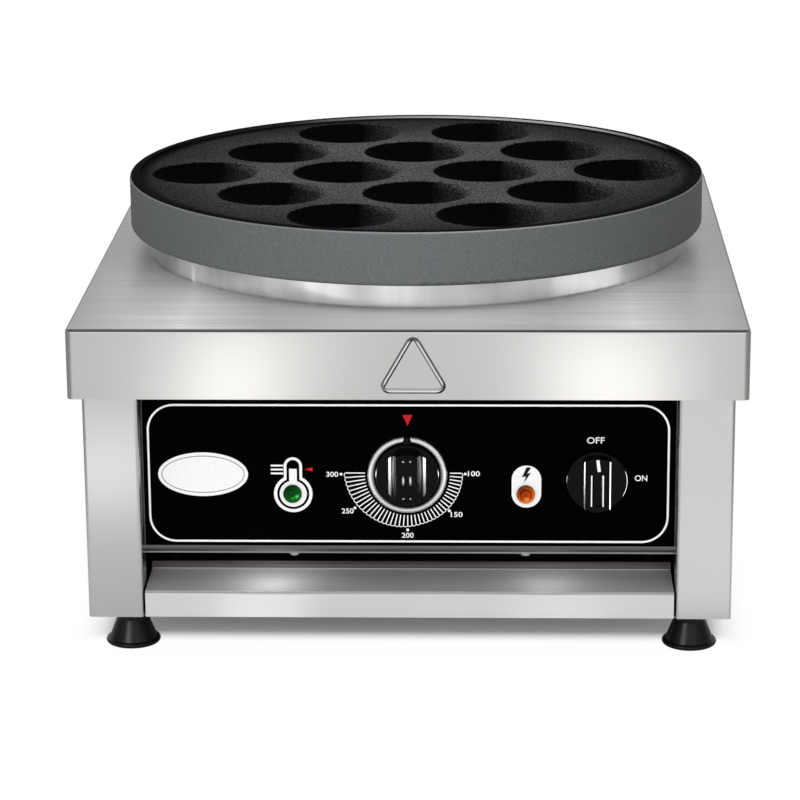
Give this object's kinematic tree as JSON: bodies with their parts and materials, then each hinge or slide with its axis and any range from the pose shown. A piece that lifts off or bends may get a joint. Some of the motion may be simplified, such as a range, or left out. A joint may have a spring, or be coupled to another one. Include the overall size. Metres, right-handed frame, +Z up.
{
  "type": "pancake maker",
  "caption": "Countertop electric mini pancake maker: a round cast plate with dished cavities on a folded steel cabinet with thermostat and power knobs, lamps and a drawer.",
  "frame": {"origin": "on the worktop under the middle of the hood", "axes": "+X to the right as seen by the user, +Y to the back, +Z up"},
  "size_m": [0.435, 0.4813, 0.2785],
  "materials": {
    "cast_plate": "grained black non-stick face, turned grey side",
    "bright_steel": "bright, upright grain",
    "cabinet_steel": "fine brushed stainless sheet",
    "inner_steel": "plain mill-finish sheet",
    "fastener_steel": "bright plated",
    "heater_tube": "heat-darkened tube",
    "fibre": "pressed heat-proof fibre",
    "print_black": "glossy printed film",
    "knob_black": "moulded, satin gloss",
    "knob_silver": "satin silver",
    "green_lens": "clear green moulding",
    "amber_lens": "clear amber moulding",
    "case_cream": "moulded thermoset",
    "case_black": "moulded thermoset",
    "copper": "drawn copper tube",
    "terminal_ceramic": "unglazed",
    "earth_brass": "plain",
    "foot_black": "glossy black moulding"
  },
  "bodies": {
    "cabinet": {"baking_plate": "cast_plate", "plate_collar": "bright_steel", "collar_rivets": "fastener_steel", "outer_heating_element": "heater_tube", "inner_heating_element": "heater_tube", "element_clamp_disc": "inner_steel", "insulation_pad": "fibre", "plate_studs": "fastener_steel", "stud_spacers": "fastener_steel", "stud_nuts": "fastener_steel", "top_hood": "cabinet_steel", "left_side_panel": "cabinet_steel", "right_side_panel": "cabinet_steel", "rear_panel": "cabinet_steel", "base_pan": "inner_steel", "inner_floor": "inner_steel", "front_support_bar": "inner_steel", "rear_support_bar": "inner_steel", "side_screws": "fastener_steel", "rear_screws": "fastener_steel", "panel_screws": "fastener_steel", "control_panel": "cabinet_steel", "panel_overlay": "print_black", "thermostat_body": "case_cream", "thermostat_screws": "fastener_steel", "thermostat_probe": "copper", "power_switch_body": "case_black", "power_switch_screws": "fastener_steel", "green_lamp_lens": "green_lens", "green_lamp_holder": "case_black", "amber_lamp_lens": "amber_lens", "amber_lamp_holder": "case_black", "terminal_block": "terminal_ceramic", "earth_stud": "earth_brass", "cable_gland": "case_black", "gland_nut": "case_black", "left_drawer_runner": "inner_steel", "right_drawer_runner": "inner_steel", "runner_rivets": "fastener_steel", "front_left_foot": "foot_black", "front_right_foot": "foot_black", "rear_left_foot": "foot_black", "rear_right_foot": "foot_black", "foot_bolts": "fastener_steel", "foot_nuts": "fastener_steel"},
    "thermostat_dial": {"thermostat_knob": "knob_black", "thermostat_knob_ring": "knob_silver", "thermostat_shaft": "fastener_steel"},
    "power_dial": {"power_knob": "knob_black", "power_switch_shaft": "fastener_steel"},
    "drawer": {"drawer_front": "cabinet_steel", "drawer_tray": "inner_steel"}
  },
  "joints": [
    {"name": "thermostat_turn", "type": "hinge", "parent": "cabinet", "child": "thermostat_dial", "pos_m": [-0.001, -0.2113, 0.1205], "axis": [0, 1, 0], "range_deg": [0, 270]},
    {"name": "power_turn", "type": "hinge", "parent": "cabinet", "child": "power_dial", "pos_m": [0.122, -0.2113, 0.117], "axis": [0, 1, 0], "range_deg": [0, 90]},
    {"name": "drawer_slide", "type": "slide", "parent": "cabinet", "child": "drawer", "axis": [0, -1, 0], "range_m": [0, 0.28]}
  ]
}
